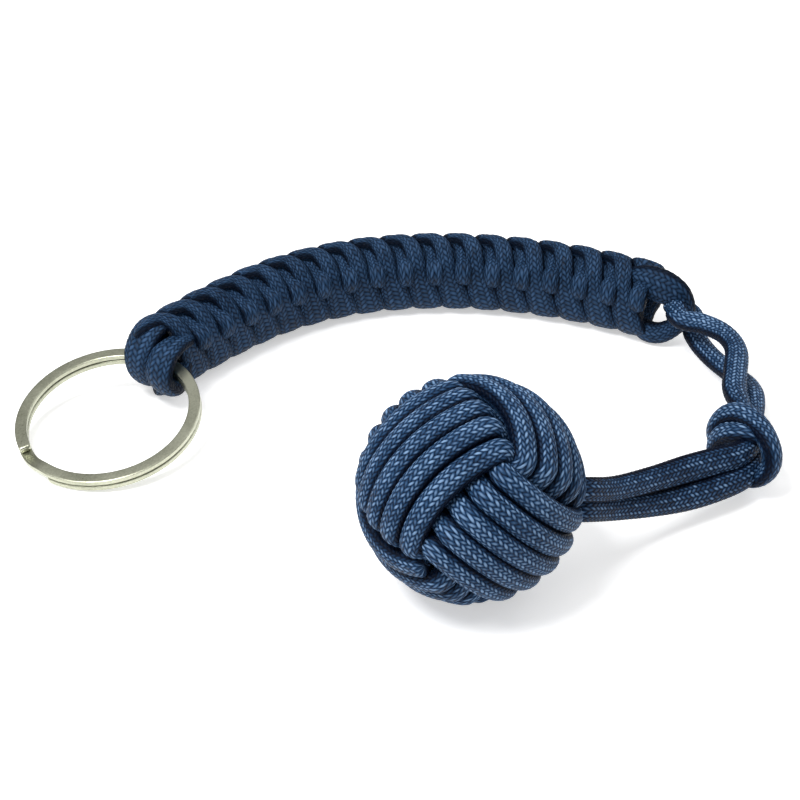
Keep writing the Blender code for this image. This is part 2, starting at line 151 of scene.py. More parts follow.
def bare_metal(name, worn, bright, rough, pit_scale):
    """Bare metal with fine pits and faint smears."""
    f = Finish(name)
    pits = f.cloud(pit_scale)
    smears = f.cloud(SMEAR_SCALE, SMEAR_DETAIL)
    mixed = f.calc("MULTIPLY_ADD", pits, PIT_SHARE,
                   f.calc("MULTIPLY", smears, 1.0 - PIT_SHARE))
    f.colour(f.ramp(mixed, ((WORN_AT, worn), (BRIGHT_AT, bright))))
    f.feed(f.calc("MULTIPLY_ADD", mixed, METAL_ROUGHNESS_SPREAD,
                  rough - METAL_ROUGHNESS_SPREAD / 2), f.shader.inputs["Roughness"])
    f.shader.inputs["Metallic"].default_value = 1.0
    f.bump(pits, PIT_STRENGTH, PIT_DEPTH)
    return f.material


ground_steel = bare_metal("ground_ball_steel", BALL_WORN, BALL_BRIGHT, BALL_ROUGHNESS,
                          BALL_PIT_SCALE)
for material_slot in frame["nodes"]["steel_core"].material_slots:
    material_slot.material = ground_steel


# The fist.
# One braided nylon cord, wound round the ball by hand in three bands of five
# passes. Each band lies outside at two faces and dives under its neighbour.
# The cord's weave
YARNS_ROUND = 20
# Each yarn passes over two others and then under two
WEAVE_REPEAT = 4
FIBRES_ACROSS_YARN = 5
FLOAT_PITCH = 0.00108
YARN_RELIEF = 0.00014
RELIEF_MIDDLE = 0.6
# The mesh that carries it
RING_STEP = 0.00034
SHEATH_SIDES = 54
POINTS_PER_ROW = 12
SEAM_GAP = 0.000001
END_ROUNDING = 0.0008
END_SIZE = 0.25
# Its colours, with painted highlight on the yarn tops, painted shade in the hollows and on
# the flanks and a painted sheen on one set of yarns; its wear and its gloss
CORD_HOLLOW_SHADE = (0.0002, 0.0030, 0.0130)
CORD_MID = (0.0225, 0.0670, 0.1560)
CORD_HIGHLIGHT = (0.230, 0.370, 0.590)
COLOUR_STOPS = (0.06, 0.46, 0.95)
CROWN_SHARPNESS = 1.6
DULLEST_YARN = 0.62
YARN_SPREAD = 0.5
# Painted sheen: the yarns laid one way are painted brighter than the others
UNSHEENED_SET_LEVEL = 0.80
PAINTED_SHEEN_LIFT = 0.22
FIBRE_TINT = 0.03
WEAR_SCALE = 150.0
WEAR_SHARE = 0.3
# Painted shade on the cord's flanks, where it lies against other cords
FLANK_SLOPE = 2.2
FLANK_START = 0.55
FLANK_PAINTED_SHADE = 0.15
# Where the painted shade on the neck begins, and where it is deepest
NECK_SHADE_FROM_Y = -0.050
NECK_SHADE_TO_Y = -0.070
CORD_ROUGHNESS = 0.38
CORD_ROUGHNESS_SPREAD = 0.2
CORD_SPECULAR = 0.10
FIBRE_BUMP = 0.05
BUMP_STRENGTH = 0.9
BUMP_DEPTH = 0.00022
# The winding round the ball
PASSES = 5
PASS_PITCH = 0.0040
UNDER_RADIUS = 0.0142
OVER_RADIUS = 0.01735
PASS_WIDTH = 0.0042
PASS_THICKNESS = 0.0037
PASS_TILTS = (0.10, -0.14, 0.10)
PASS_FULLNESS = 0.92
FIST_TILT_DEG = (-10.1, -44.4, -144.5)
FIST_CENTRE = np.array((0.0146, -0.0906, 0.01893))
DIVE_DEG = 48.0
DIVE_HALF_DEG = 7.0
STEP_START_DEG = 245.0
STEP_END_DEG = 295.0
WINDING_STEP_DEG = 3.0


def braid_finish(name, dark, mid, light, shade_share=0.0):
    """The braid drawn on the cord's own unrolled surface, where one unit is one yarn.
    The yarn tops get painted highlight and the hollows painted shade, and the yarns laid one
    way are painted brighter than the others, as a painted sheen. The flanks, which lie
    against other cords, get painted shade. A given share of painted shade darkens the cord
    from the knot towards the fist."""
    f = Finish(name)
    unrolled = f.node("ShaderNodeUVMap", uv_map="UVMap")
    apart = f.node("ShaderNodeSeparateXYZ")
    f.feed(unrolled.outputs[0], apart.inputs[0])
    along, around = apart.outputs[0], apart.outputs[1]
    left_laid = f.calc("ADD", along, around)
    right_laid = f.calc("SUBTRACT", along, around)
    heights = []
    floats = []
    for across, other, shift in ((left_laid, right_laid, 0.0), (right_laid, left_laid, 1.0)):
        yarn = f.calc("FLOOR", across)
        part = f.calc("FRACT", across)
        centred = f.calc("MULTIPLY_ADD", part, 2.0, -1.0)
        bulge = f.calc("SUBTRACT", 1.0, f.calc("MULTIPLY", centred, centred))
        lengthwise = f.calc("ADD", f.calc("SUBTRACT", other, yarn), shift)
        wave = f.calc("COSINE", f.calc("MULTIPLY", lengthwise, 2.0 * math.pi / WEAVE_REPEAT))
        heights.append(f.calc("MULTIPLY", f.calc("ADD", bulge, wave), 0.5))
        number = f.calc("FLOOR", f.calc("MULTIPLY_ADD", lengthwise, 1.0 / WEAVE_REPEAT, 0.5))
        fibres = f.calc("SINE", f.calc("MULTIPLY", across, 2.0 * math.pi * FIBRES_ACROSS_YARN))
        floats.append((yarn, number, fibres))
    height = f.calc("MAXIMUM", *heights)
    upper = f.calc("GREATER_THAN", *heights)
    yarn, number, fibres = (f.between(upper, second, first) for first, second in zip(*floats))

    label = f.node("ShaderNodeCombineXYZ")
    for value, socket in zip((yarn, number, upper), label.inputs):
        f.feed(value, socket)
    chance = f.node("ShaderNodeTexWhiteNoise", noise_dimensions="3D")
    f.feed(label.outputs[0], chance.inputs["Vector"])
    chance = chance.outputs["Value"]

    # Painted highlight on the yarn tops and painted shade in the hollows between them
    crown = f.calc("POWER", f.calc("MAXIMUM", height, 0.0), CROWN_SHARPNESS)
    level = f.calc("MULTIPLY", crown, f.calc("MULTIPLY_ADD", chance, YARN_SPREAD, DULLEST_YARN))
    # One set of yarns painted brighter than the other, as a painted sheen
    level = f.calc("MULTIPLY", level,
                   f.calc("MULTIPLY_ADD", upper, PAINTED_SHEEN_LIFT, UNSHEENED_SET_LEVEL))
    level = f.calc("MULTIPLY_ADD", fibres, FIBRE_TINT, level)
    worn = f.calc("SUBTRACT", f.cloud(WEAR_SCALE), 0.5)
    level = f.calc("MULTIPLY_ADD", worn, WEAR_SHARE, level)
    # Painted shade on the flanks, where the cord lies against its neighbours
    flank = f.calc("SINE", f.calc("MULTIPLY", around, 2.0 * math.pi / YARNS_ROUND))
    unshaded_flank = f.calc("MULTIPLY_ADD", f.calc("ABSOLUTE", flank), FLANK_SLOPE, -FLANK_START)
    unshaded_flank = f.calc("MINIMUM", f.calc("MAXIMUM", unshaded_flank, 0.0), 1.0)
    level = f.calc("MULTIPLY", level,
                   f.calc("MULTIPLY_ADD", unshaded_flank, 1.0 - FLANK_PAINTED_SHADE, FLANK_PAINTED_SHADE))
    # Painted shade, darker from the knot towards the fist
    if shade_share:
        place = f.node("ShaderNodeSeparateXYZ")
        f.feed(f.node("ShaderNodeTexCoord").outputs["Object"], place.inputs[0])
        painted_neck_shade = f.stretch(place.outputs[1], NECK_SHADE_FROM_Y, NECK_SHADE_TO_Y, 0.0, shade_share)
        level = f.calc("SUBTRACT", level, painted_neck_shade)
    f.colour(f.ramp(level, tuple(zip(COLOUR_STOPS, (dark, mid, light)))))
    f.feed(f.calc("MULTIPLY_ADD", chance, CORD_ROUGHNESS_SPREAD, CORD_ROUGHNESS),
           f.shader.inputs["Roughness"])
    f.shader.inputs["Specular IOR Level"].default_value = CORD_SPECULAR
    f.bump(f.calc("MULTIPLY_ADD", fibres, FIBRE_BUMP, height), BUMP_STRENGTH, BUMP_DEPTH)
    return f.material


cord_braid = braid_finish("navy_nylon_braid", CORD_HOLLOW_SHADE, CORD_MID, CORD_HIGHLIGHT)


def woven_height(along, around):
    """Height of the braid from 0 to 1, at places given in yarns, as its finish draws it."""
    left_laid = along + around
    right_laid = along - around
    height = []
    for across, lengthwise in ((left_laid, right_laid - np.floor(left_laid)),
                               (right_laid, left_laid - np.floor(right_laid) + 1.0)):
        bulge = 1.0 - (2.0 * (across - np.floor(across)) - 1.0) ** 2
        wave = np.cos(2.0 * math.pi / WEAVE_REPEAT * lengthwise)
        height.append(0.5 * bulge + 0.5 * wave)
    return np.maximum(*height)


def smooth_path(table, step):
    """Even rows along a smooth curve through a table of rows, and the curve's length.
    Each row begins with a place."""
    rows = np.asarray(table, float)
    rows = np.vstack((2 * rows[0] - rows[1], rows, 2 * rows[-1] - rows[-2]))
    before, here, there, after = rows[:-3], rows[1:-2], rows[2:-1], rows[3:]
    fine = []
    for t in np.linspace(0.0, 1.0, POINTS_PER_ROW, endpoint=False):
        fine.append(0.5 * (2 * here + (there - before) * t
                           + (2 * before - 5 * here + 4 * there - after) * t ** 2
                           + (3 * here - before - 3 * there + after) * t ** 3))
    fine = np.stack(fine, axis=1).reshape(-1, rows.shape[1])
    fine = np.vstack((fine, rows[-2]))
    runs = np.linalg.norm(np.diff(fine[:, :3], axis=0), axis=1)
    travelled = np.concatenate(([0.0], np.cumsum(runs)))
    count = max(2, round(travelled[-1] / step))
    places = np.linspace(0.0, travelled[-1], count + 1)
    even = np.stack([np.interp(places, travelled, column) for column in fine.T], axis=1)
    return even, travelled[-1]


def unit(vectors):
    return vectors / np.linalg.norm(vectors, axis=-1, keepdims=True)


def wrap_tube(name, rows, sides, shape_of, finish):
    """A flat grid wrapped round rows of place and outward direction, seamed and capped.
    shape_of gives how far each point stands sideways and outwards from its row, and
    where it lies on the unrolled surface."""
    rings = len(rows)
    places = rows[:, :3]
    tangents = unit(np.gradient(places, axis=0))
    outward = rows[:, 3:6]
    outward = unit(outward - (outward * tangents).sum(axis=1)[:, None] * tangents)
    sideways = np.cross(tangents, outward)

    shape = bmesh.new()
    bmesh.ops.create_grid(shape, x_segments=rings - 1, y_segments=sides, size=1.0)
    mesh = bpy.data.meshes.new(name)
    shape.to_mesh(mesh)
    shape.free()
    flat = np.empty(3 * len(mesh.vertices))
    mesh.vertices.foreach_get("co", flat)
    flat = flat.reshape(-1, 3)
    ring = np.rint((flat[:, 0] + 1.0) / 2.0 * (rings - 1)).astype(int)
    around = (flat[:, 1] + 1.0) / 2.0
    side, out, along, unroll = shape_of(ring, around)
    place = places[ring] + sideways[ring] * side[:, None] + outward[ring] * out[:, None]
    mesh.vertices.foreach_set("co", place.ravel())

    layer = mesh.uv_layers.new(name="UVMap")
    corner = np.empty(len(mesh.loops), int)
    mesh.loops.foreach_get("vertex_index", corner)
    unrolled = np.stack((along[corner], unroll[corner]), axis=1)
    layer.data.foreach_set("uv", unrolled.ravel())

    shape = bmesh.new()
    shape.from_mesh(mesh)
    rim = [vert for vert in shape.verts if vert.is_boundary]
    bmesh.ops.remove_doubles(shape, verts=rim, dist=SEAM_GAP)
    bmesh.ops.holes_fill(shape, edges=[edge for edge in shape.edges if edge.is_boundary])
    bmesh.ops.recalc_face_normals(shape, faces=shape.faces)
    shape.to_mesh(mesh)
    shape.free()
    mesh.shade_smooth()
    mesh.materials.append(finish)
    piece = bpy.data.objects.new(name, mesh)
    bpy.context.scene.collection.objects.link(piece)
    return piece


def braided_cord(name, table, finish=cord_braid, step=RING_STEP, sides=SHEATH_SIDES,
                 relief=YARN_RELIEF, fullness=1.0):
    """A braided cord through rows of place, outward direction, width and thickness.
    A fullness below 1 makes its section boxier, as where it is pressed flat."""
    rows, length = smooth_path(table, step)
    rings = len(rows)

    def flat_oval(ring, around):
        angle = 2.0 * math.pi * around
        along = ring * length / (rings - 1) / FLOAT_PITCH
        raised = relief * (woven_height(along, YARNS_ROUND * around) - RELIEF_MIDDLE)
        from_end = np.minimum(ring, rings - 1 - ring) * length / (rings - 1)
        closing = 1.0 - np.clip(from_end / END_ROUNDING, 0.0, 1.0)
        closing = np.sqrt(1.0 - closing ** 2) * (1.0 - END_SIZE) + END_SIZE
        side = np.sign(np.cos(angle)) * np.abs(np.cos(angle)) ** fullness
        out = np.sign(np.sin(angle)) * np.abs(np.sin(angle)) ** fullness
        side *= (rows[ring, 6] / 2.0 + raised) * closing
        out *= (rows[ring, 7] / 2.0 + raised) * closing
        return side, out, along, YARNS_ROUND * around

    return wrap_tube(name, rows, sides, flat_oval, finish)


def fist_bands():
    """Rows of place, outward direction, width and thickness for each of the three bands."""
    turn = np.array(Euler([math.radians(angle) for angle in FIST_TILT_DEG]).to_matrix())
    axes = np.eye(3)
    bands = ((-axes[2], axes[1], axes[0]), (axes[1], -axes[0], axes[2]),
             (-axes[0], -axes[2], -axes[1]))
    dive_start = DIVE_DEG - DIVE_HALF_DEG
    widest = PASS_PITCH * (PASSES - 1) / 2
    made = []
    for number, (across, outer, inner) in enumerate(bands):
        first = STEP_END_DEG - 360.0 if number == 0 else -dive_start
        last = STEP_START_DEG if number == 2 else 180.0 + DIVE_DEG + 2 * DIVE_HALF_DEG
        last += 360.0 * (PASSES - 1)
        rows = []
        for total in np.arange(first, last + 0.1, WINDING_STEP_DEG):
            passing = math.floor(total / 360.0)
            angle = total - 360.0 * passing
            stepped = (angle - STEP_START_DEG) / (STEP_END_DEG - STEP_START_DEG)
            offset = PASS_PITCH * (passing + min(max(stepped, 0.0), 1.0)) - widest
            offset = min(max(offset, -widest), widest)
            from_face = abs((angle + 90.0) % 180.0 - 90.0)
            depth = min(max((from_face - dive_start) / (2 * DIVE_HALF_DEG), 0.0), 1.0)
            depth = depth * depth * (3.0 - 2.0 * depth)
            radius = OVER_RADIUS + (UNDER_RADIUS - OVER_RADIUS) * depth
            reach = math.sqrt(radius ** 2 - offset ** 2)
            around = math.radians(angle)
            place = (across * offset + outer * reach * math.cos(around)
                     + inner * reach * math.sin(around))
            out = unit(unit(place) + PASS_TILTS[number] * across)
            rows.append((*(FIST_CENTRE + turn @ place), *(turn @ out),
                         PASS_WIDTH, PASS_THICKNESS))
        made.append(rows)
    return made


for number, rows in enumerate(fist_bands(), start=1):
    band = braided_cord("fist_band_%d" % number, rows, fullness=PASS_FULLNESS)
    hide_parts("fist_winding")
    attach(band, "fist")


# The neck and the eye loop.
# The fist's own cord leaves it twice, side by side, passes through the knot and
# loops through the strap's far eye. It lies loose, with its flat side up.
NECK_FACE = (0.55, -0.75, 0.35)
EYE_FACE = (0.30, -0.40, 0.85)
UPPER_NECK = ((0.0395, -0.0855, 0.0152, 0.0043), (0.0470, -0.0791, 0.0124, 0.0046),
              (0.0534, -0.0743, 0.0109, 0.0051), (0.0592, -0.0707, 0.0100, 0.0051),
              (0.0643, -0.0675, 0.0092, 0.0048), (0.0674, -0.0632, 0.0088, 0.0042),
              (0.0679, -0.0565, 0.0093, 0.0041))
LOWER_NECK = ((0.0397, -0.0856, 0.0110, 0.0043), (0.0473, -0.0801, 0.0077, 0.0046),
              (0.0538, -0.0761, 0.0061, 0.0051), (0.0598, -0.0728, 0.0056, 0.0051),
              (0.0653, -0.0691, 0.0054, 0.0048), (0.0684, -0.0645, 0.0053, 0.0042),
              (0.0687, -0.0580, 0.0052, 0.0041))
UPPER_EYE = ((0.0669, -0.0485, 0.0097), (0.0679, -0.0423, 0.0100), (0.0695, -0.0340, 0.0103),
             (0.0682, -0.0282, 0.0105), (0.0645, -0.0243, 0.0106), (0.0602, -0.0214, 0.0101))
LOWER_EYE = ((0.0640, -0.0178, 0.0053), (0.0645, -0.0214, 0.0046), (0.0664, -0.0262, 0.0040),
             (0.0694, -0.0320, 0.0038), (0.0720, -0.0380, 0.0044), (0.0716, -0.0445, 0.0052))
NECK_THICKNESS = 0.0033
NECK_HEADING_DEG = -3.0
ROOT_REACHES = (0.0150, 0.0190)
ROOT_HEIGHTS = (0.0006, -0.0036)
ROOT_WIDTH = 0.0042
EYE_WIDTH = 0.0049
STRAP_END_DEG = -28.0
LINK_RADIUS = 0.0031
LINK_SHIFT = 0.0026
LINK_HEADING_DEG = -60.0
LINK_TURNS_DEG = (-90.0, -130.0, -180.0, -228.0, -265.0)
LINK_HEIGHTS = (0.0016, 0.0008, -0.0002, -0.0016, -0.0026)
LINK_WIDTH = 0.0040
LINK_THICKNESS = 0.0029
# Share of painted shade on the neck near the fist
NECK_PAINTED_SHADE = 0.14
PATH_STEP = 0.001


def flat_direction(heading_deg):
    heading = math.radians(heading_deg)
    return np.array((math.cos(heading), math.sin(heading), 0.0))


hinges = {joint["name"]: np.array(joint["pos_m"])
          for joint in frame["record"]["behaviour"]["joints"]}
eye_tip = hinges["eye_swing"]
neck_out = flat_direction(NECK_HEADING_DEG)


def neck_rows(table, height):
    """From inside the fist straight out, then along one side of the neck."""
    rows = []
    for reach in ROOT_REACHES:
        place = FIST_CENTRE + neck_out * reach + np.array((0.0, 0.0, height))
        rows.append((*place, *NECK_FACE, ROOT_WIDTH, NECK_THICKNESS))
    for x, y, z, width in table:
        rows.append((x, y, z, *NECK_FACE, width, NECK_THICKNESS))
    return rows


link_rows = []
for turn_deg, height in zip(LINK_TURNS_DEG, LINK_HEIGHTS):
    spoke = flat_direction(LINK_HEADING_DEG + turn_deg)
    place = eye_tip + LINK_SHIFT * flat_direction(STRAP_END_DEG) + LINK_RADIUS * spoke
    place[2] += height
    face = spoke + np.array((0.0, 0.0, 1.0))
    link_rows.append((*place, *face, LINK_WIDTH, LINK_THICKNESS))
eye_rows = [[(*point, *EYE_FACE, EYE_WIDTH, NECK_THICKNESS) for point in side]
            for side in (UPPER_EYE, LOWER_EYE)]
neck_table = (neck_rows(UPPER_NECK, ROOT_HEIGHTS[0]) + eye_rows[0] + link_rows + eye_rows[1]
              + neck_rows(LOWER_NECK, ROOT_HEIGHTS[1])[::-1])
# The neck's finish, with painted shade towards the fist
neck_braid = braid_finish("shaded_neck_nylon_braid", CORD_HOLLOW_SHADE, CORD_MID, CORD_HIGHLIGHT,
                          NECK_PAINTED_SHADE)
neck_cord = braided_cord("neck_cord", neck_table, neck_braid)
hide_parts("neck_cord_upper", "neck_cord_lower", "eye_loop")
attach(neck_cord, "neck")
neck_line, neck_length = smooth_path(neck_table, PATH_STEP)


# The neck knot.
# An overhand knot in both neck cords at once, pulled tight. Its turns pass over
# the cords from the left, slant down to the right and go back underneath.
KNOT_CENTRE = np.array((0.0665, -0.0620, 0.0075))
KNOT_HEADING_DEG = 66.0
KNOT_ROUTE = ((0.0712, -0.0585, 0.0060), (0.0695, -0.0556, 0.0026), (0.0660, -0.0543, 0.0020),
              (0.0627, -0.0556, 0.0040), (0.0616, -0.0563, 0.0080), (0.0632, -0.0570, 0.0116),
              (0.0662, -0.0597, 0.0136), (0.0692, -0.0638, 0.0126), (0.0707, -0.0680, 0.0104),
              (0.0707, -0.0692, 0.0070), (0.0688, -0.0684, 0.0040), (0.0658, -0.0655, 0.0024),
              (0.0627, -0.0616, 0.0024), (0.0614, -0.0593, 0.0052), (0.0622, -0.0603, 0.0090),
              (0.0650, -0.0632, 0.0114), (0.0680, -0.0636, 0.0112), (0.0707, -0.0610, 0.0090),
              (0.0714, -0.0588, 0.0064))
KNOT_WIDTH = 0.0048
KNOT_THICKNESS = 0.0036
KNOT_TIGHTNESS = 0.88
knot_axis = flat_direction(KNOT_HEADING_DEG)
knot_table = []
for point in np.array(KNOT_ROUTE):
    point = KNOT_CENTRE + KNOT_TIGHTNESS * (point - KNOT_CENTRE)
    from_centre = point - KNOT_CENTRE
    spoke = unit(from_centre - (from_centre @ knot_axis) * knot_axis)
    knot_table.append((*point, *spoke, KNOT_WIDTH, KNOT_THICKNESS))
neck_knot = braided_cord("neck_knot", knot_table)
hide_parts("overhand_knot")
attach(neck_knot, "neck")


# The strap's core.
# The strap is one length of cord, laid to and fro and then tied over itself with its
# two ends. These are its two middle runs, one above the other, which the stitches hide.
STITCH_COUNT = 17
STITCH_PITCH = 0.00665
HALF_PITCH = STITCH_PITCH / 2
# Which way the strap heads, at places counted in stitches from its middle
HEADING_STITCHES = (-8.4, -4.8, 0.0, 3.6, 8.1)
HEADINGS_DEG = (53.0, 43.0, 10.0, -9.5, -28.0)
MID_HEIGHT = 0.0086
STATION_REACH = 12.0
STATIONS_PER_STITCH = 20
MM = 0.001
# The strap's colours: the same nylon as the fist, painted darker as painted shade, with painted
# highlight and hollow shade
STRAP_HOLLOW_SHADE = (0.0006, 0.0042, 0.0140)
STRAP_SHADED_MID = (0.0165, 0.0450, 0.1000)
STRAP_HIGHLIGHT = (0.046, 0.100, 0.205)
# The strap's cords are modelled in four sections, which end after so many stitches
CUT_STITCHES = (0, 6, 9, 12, 17)
CORE_HEIGHT = 3.4
CORE_SIZE = 2.6
CORE_STEP = 0.0008
CORE_SIDES = 18


def strap_line():
    """Stations along the strap's middle, a twentieth of a stitch apart, with the place
    and the heading at each."""
    count = round(2 * STATION_REACH * STATIONS_PER_STITCH) + 1
    stations = np.linspace(-STATION_REACH, STATION_REACH, count)
    headings = np.radians(np.interp(stations, HEADING_STITCHES, HEADINGS_DEG))
    steps = np.stack((np.cos(headings), np.sin(headings)), axis=1)
    steps = (steps[1:] + steps[:-1]) / 2 * STITCH_PITCH * (stations[1] - stations[0])
    line = np.vstack(((0.0, 0.0), np.cumsum(steps, axis=0)))
    return stations * STITCH_PITCH, line - line[len(line) // 2], headings


strap_stations, strap_places, strap_headings = strap_line()
# A darker copy of the cord's finish, as painted shade on the strap
shaded_strap_braid = braid_finish("shaded_strap_nylon_braid", STRAP_HOLLOW_SHADE, STRAP_SHADED_MID, STRAP_HIGHLIGHT)


def on_strap(x, y, z):
    """The place of a point in the strap's own axes, and its directions along and across."""
    heading = np.interp(x, strap_stations, strap_headings)
    centre = np.array((np.interp(x, strap_stations, strap_places[:, 0]),
                       np.interp(x, strap_stations, strap_places[:, 1]), MID_HEIGHT))
    forward = np.array((math.cos(heading), math.sin(heading), 0.0))
    across = np.array((-math.sin(heading), math.cos(heading), 0.0))
    return centre + across * y + np.array((0.0, 0.0, z)), forward, across


def bend_with(piece):
    """Bakes a piece's placement into its mesh."""
    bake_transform(piece)


def cut_station(stitches):
    """The place along the strap after so many stitches, measured from its middle."""
    return (stitches - STITCH_COUNT / 2) * STITCH_PITCH


def core_rows(start, stop, height):
    """Rows of one core cord from one station of the strap to another."""
    rows = []
    for x in np.linspace(start, stop, max(2, round(abs(stop - start) / HALF_PITCH))):
        place, forward, across = on_strap(x, 0.0, height * MM)
        rows.append((*place, *-across, CORE_SIZE * MM, CORE_SIZE * MM))
    return rows


# The runs in the first and last sections are made with the loops that they end in
for section in (2, 3):
    ends = [cut_station(CUT_STITCHES[section - 1]), cut_station(CUT_STITCHES[section])]
    for side, height in (("upper", CORE_HEIGHT), ("lower", -CORE_HEIGHT)):
        core = braided_cord("core_%s_%d" % (side, section), core_rows(*ends, height),
                            shaded_strap_braid, step=CORE_STEP, sides=CORE_SIDES, relief=0.0)
        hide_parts("core_strand_%s_%d" % (side, section),
                    "core_strand_%s_%d" % (side, section + 1))
        bend_with(core)


# The far eye.
# The core cord's bight at the fist's end, left open for the eye loop. The last
# wrap is drawn over its upper side, so it is broad there and slim below.
STITCH_LENGTH = 0.0059
STRAP_END = (STITCH_COUNT - 1) / 2 * STITCH_PITCH + STITCH_LENGTH / 2
# Rows run beyond the strap's end: millimetres out, across, up, in width and thickness
FAR_EYE_ROWS = ((-3.6, -0.2, 3.8, 3.6, 2.9), (-1.2, -0.8, 4.8, 5.6, 3.4),
                (1.5, -1.2, 5.0, 7.4, 4.1), (4.8, -1.2, 4.5, 7.8, 4.4),
                (7.6, -0.8, 3.3, 6.4, 4.0), (9.4, -0.3, 0.8, 4.4, 3.2),
                (9.3, -0.2, -1.8, 3.6, 2.9), (7.8, -0.9, -4.2, 3.9, 3.2),
                (5.2, -2.2, -5.8, 4.6, 3.6), (2.2, -2.4, -6.0, 4.8, 3.7),
                (-0.5, -1.1, -5.4, 3.9, 3.1), (-3.6, -0.3, -4.0, 3.2, 2.9))
EYE_INNER_REACH = 0.006
eye_start = cut_station(CUT_STITCHES[3])
eye_inner_end = STRAP_END - EYE_INNER_REACH
far_eye_table = core_rows(eye_start, eye_inner_end, CORE_HEIGHT)
for out, y, z, width, thickness in FAR_EYE_ROWS:
    place, forward, across = on_strap(STRAP_END + out * MM, y * MM, z * MM)
    far_eye_table.append((*place, *-across, width * MM, thickness * MM))
far_eye_table += core_rows(eye_inner_end, eye_start, -CORE_HEIGHT)
far_eye_cord = braided_cord("far_eye_cord", far_eye_table, shaded_strap_braid)
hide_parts("far_eye", "core_strand_upper_4", "core_strand_lower_4")
bend_with(far_eye_cord)


# The ring's loop.
# The cord's two bights at the other end, side by side, which hold the split
# ring. The taller one lies behind and the fuller, shorter one in front.
# Rows as for the far eye
BIGHTS = {
    "ring_bight_back": ((-4.5, 0.4, 4.6, 4.2, 2.8), (-1.6, 0.8, 6.2, 5.6, 2.9),
                        (1.4, 1.1, 6.1, 6.6, 2.8), (4.0, 1.3, 4.2, 6.8, 2.6),
                        (5.6, 1.4, 1.0, 6.6, 2.6), (5.2, 1.5, -2.9, 6.0, 2.7),
                        (3.1, 1.5, -5.0, 5.0, 2.8), (0.0, 1.3, -5.1, 4.2, 2.8),
                        (-4.0, 0.8, -4.0, 3.4, 2.8)),
    "ring_bight_front": ((-4.5, -2.8, 2.6, 3.6, 2.6), (-1.5, -3.9, 3.5, 5.0, 2.7),
                         (1.6, -4.5, 3.9, 5.8, 2.7), (4.4, -4.7, 3.1, 6.4, 2.7),
                         (6.1, -4.9, 0.4, 6.6, 2.8), (5.5, -4.8, -2.2, 6.7, 3.5),
                         (3.6, -4.7, -3.6, 6.8, 4.6), (0.8, -4.2, -3.4, 5.8, 4.4),
                         (-1.6, -3.6, -2.2, 4.2, 3.2), (-4.5, -2.6, -1.8, 3.4, 2.8)),
}
LOOP_INNER_REACH = 0.007
BIGHT_FACE_SHIFT = 1.5
BIGHT_FULLNESS = 0.9
loop_start = cut_station(CUT_STITCHES[1])
loop_inner_end = -STRAP_END + LOOP_INNER_REACH
for name, bight in BIGHTS.items():
    table = []
    if name == "ring_bight_back":
        table += core_rows(loop_start, loop_inner_end, CORE_HEIGHT)
    for out, y, z, width, thickness in bight:
        place, forward, across = on_strap(-STRAP_END - out * MM, y * MM, z * MM)
        face = unit(np.array((0.0, 0.0, z)) - (out + BIGHT_FACE_SHIFT) * forward)
        table.append((*place, *face, width * MM, thickness * MM))
    if name == "ring_bight_back":
        table += core_rows(loop_inner_end, loop_start, -CORE_HEIGHT)
    cord = braided_cord(name, table, shaded_strap_braid, fullness=BIGHT_FULLNESS)
    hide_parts("ring_loop")
    bend_with(cord)


# The strap's stitches.
# A cobra tie: the cord's two ends cross in front of and behind the core and hook each
# other at the edges, seventeen times over, each pulled down hard.
WORKING_FULLNESS = 0.8
FACE_LIFT = 0.5
# One stitch of a working cord, from behind the upper edge, over it as an arch, down the
# front as a bar, behind the lower edge as a knuckle and back up: half pitches along, then
# millimetres across, up, in width and in thickness
STITCH_ROWS = ((-1.95, 2.2, 4.4, 3.0, 2.4), (-1.82, 1.8, 6.2, 3.2, 2.4),
               (-1.32, 1.0, 7.3, 3.4, 2.4), (-0.78, 0.0, 7.4, 3.6, 2.4),
               (-0.38, -1.7, 6.5, 3.8, 2.6), (-0.20, -3.2, 4.4, 4.0, 2.7),
               (0.00, -4.0, 1.4, 4.9, 2.8), (0.28, -4.1, -1.8, 6.4, 2.7),
               (0.55, -3.8, -4.8, 7.1, 2.5), (0.82, -2.3, -6.6, 6.9, 2.3),
               (1.02, 0.4, -5.3, 4.0, 2.2), (1.04, 2.7, -4.1, 3.4, 2.5),
               (1.06, 5.1, -3.0, 3.8, 3.0), (1.04, 4.8, -0.9, 3.5, 2.7),
               (0.86, 2.2, -3.4, 2.7, 2.2), (0.72, -0.4, -4.9, 2.7, 2.2),
               (0.80, -2.2, -3.6, 3.0, 2.3), (0.70, -2.5, 0.0, 3.2, 2.4),
               (0.42, -2.0, 3.2, 3.0, 2.3), (0.14, -0.3, 4.7, 2.8, 2.3))
# The row of a stitch at which its cord goes over from one section to the next
CUT_ROW = 17


def working_cord(back, first, last):
    """Rows of one working cord over some stitches. The back cord is the front one turned
    half round about the strap's length."""
    rows = []
    turned = -1.0 if back else 1.0
    start = 0 if first == 0 else (first - 1) * len(STITCH_ROWS) + CUT_ROW - 1
    stop = last * len(STITCH_ROWS)
    if last < STITCH_COUNT:
        stop -= len(STITCH_ROWS) - CUT_ROW - 1
    for number in range(start, stop):
        stitch, row = divmod(number, len(STITCH_ROWS))
        along, y, z, width, thickness = STITCH_ROWS[row]
        x = (stitch - (STITCH_COUNT - 1) / 2) * STITCH_PITCH + along * HALF_PITCH
        y, z = y * MM * turned, z * MM * turned
        place, forward, across = on_strap(x, y, z)
        out = across * y + np.array((0.0, 0.0, FACE_LIFT * z))
        rows.append((*place, *unit(out), width * MM, thickness * MM))
    return rows


